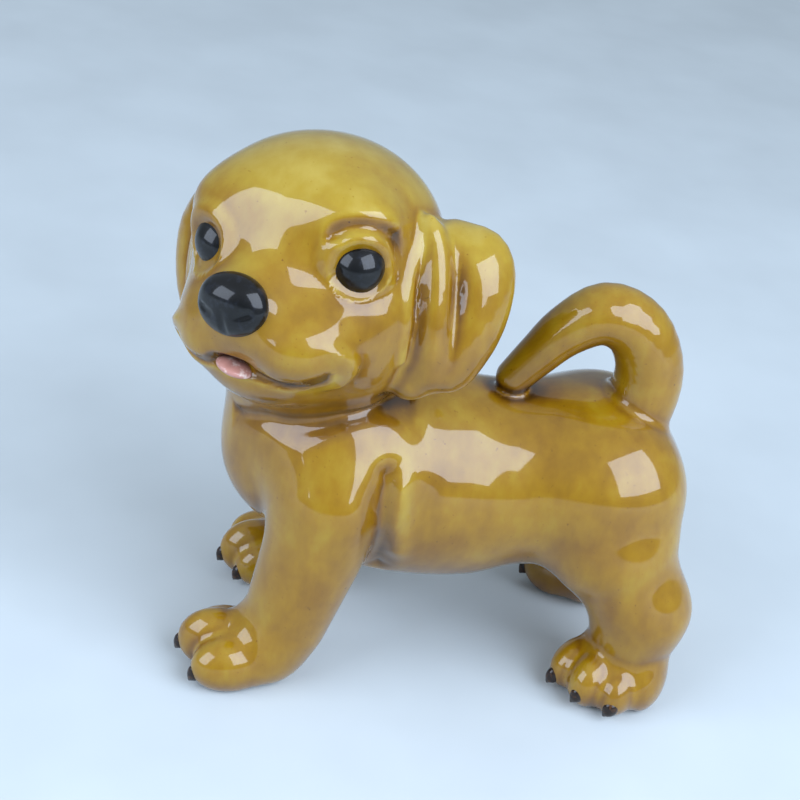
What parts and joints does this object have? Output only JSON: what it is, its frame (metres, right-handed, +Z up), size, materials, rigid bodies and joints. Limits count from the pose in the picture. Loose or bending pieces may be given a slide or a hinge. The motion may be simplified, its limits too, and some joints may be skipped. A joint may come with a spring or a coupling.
{
  "type": "ceramic puppy figurine",
  "caption": "Glazed ceramic puppy that stands on its four legs, head turned to one side, ears hanging and tail curled over to touch its back.",
  "frame": {"origin": "middle of the figurine's extent, on the plane its four soles stand on", "axes": "+Z up, -Y the way the body faces, +X the puppy's left, which its head is turned towards"},
  "size_m": [0.0722, 0.1302, 0.127],
  "materials": {
    "honey_glaze": "gloss",
    "black_glaze": "gloss",
    "pink_glaze": "gloss",
    "claw_glaze": "gloss"
  },
  "bodies": {
    "root": {"torso": "honey_glaze", "head": "honey_glaze", "left_ear": "honey_glaze", "right_ear": "honey_glaze", "front_left_leg": "honey_glaze", "front_right_leg": "honey_glaze", "rear_left_leg": "honey_glaze", "rear_right_leg": "honey_glaze", "tail": "honey_glaze", "left_eye": "black_glaze", "right_eye": "black_glaze", "nose": "black_glaze", "tongue": "pink_glaze", "front_left_claw_1": "claw_glaze", "front_left_claw_2": "claw_glaze", "front_left_claw_3": "claw_glaze", "front_right_claw_1": "claw_glaze", "front_right_claw_2": "claw_glaze", "front_right_claw_3": "claw_glaze", "rear_left_claw_1": "claw_glaze", "rear_left_claw_2": "claw_glaze", "rear_left_claw_3": "claw_glaze", "rear_right_claw_1": "claw_glaze", "rear_right_claw_2": "claw_glaze", "rear_right_claw_3": "claw_glaze"}
  },
  "joints": []
}
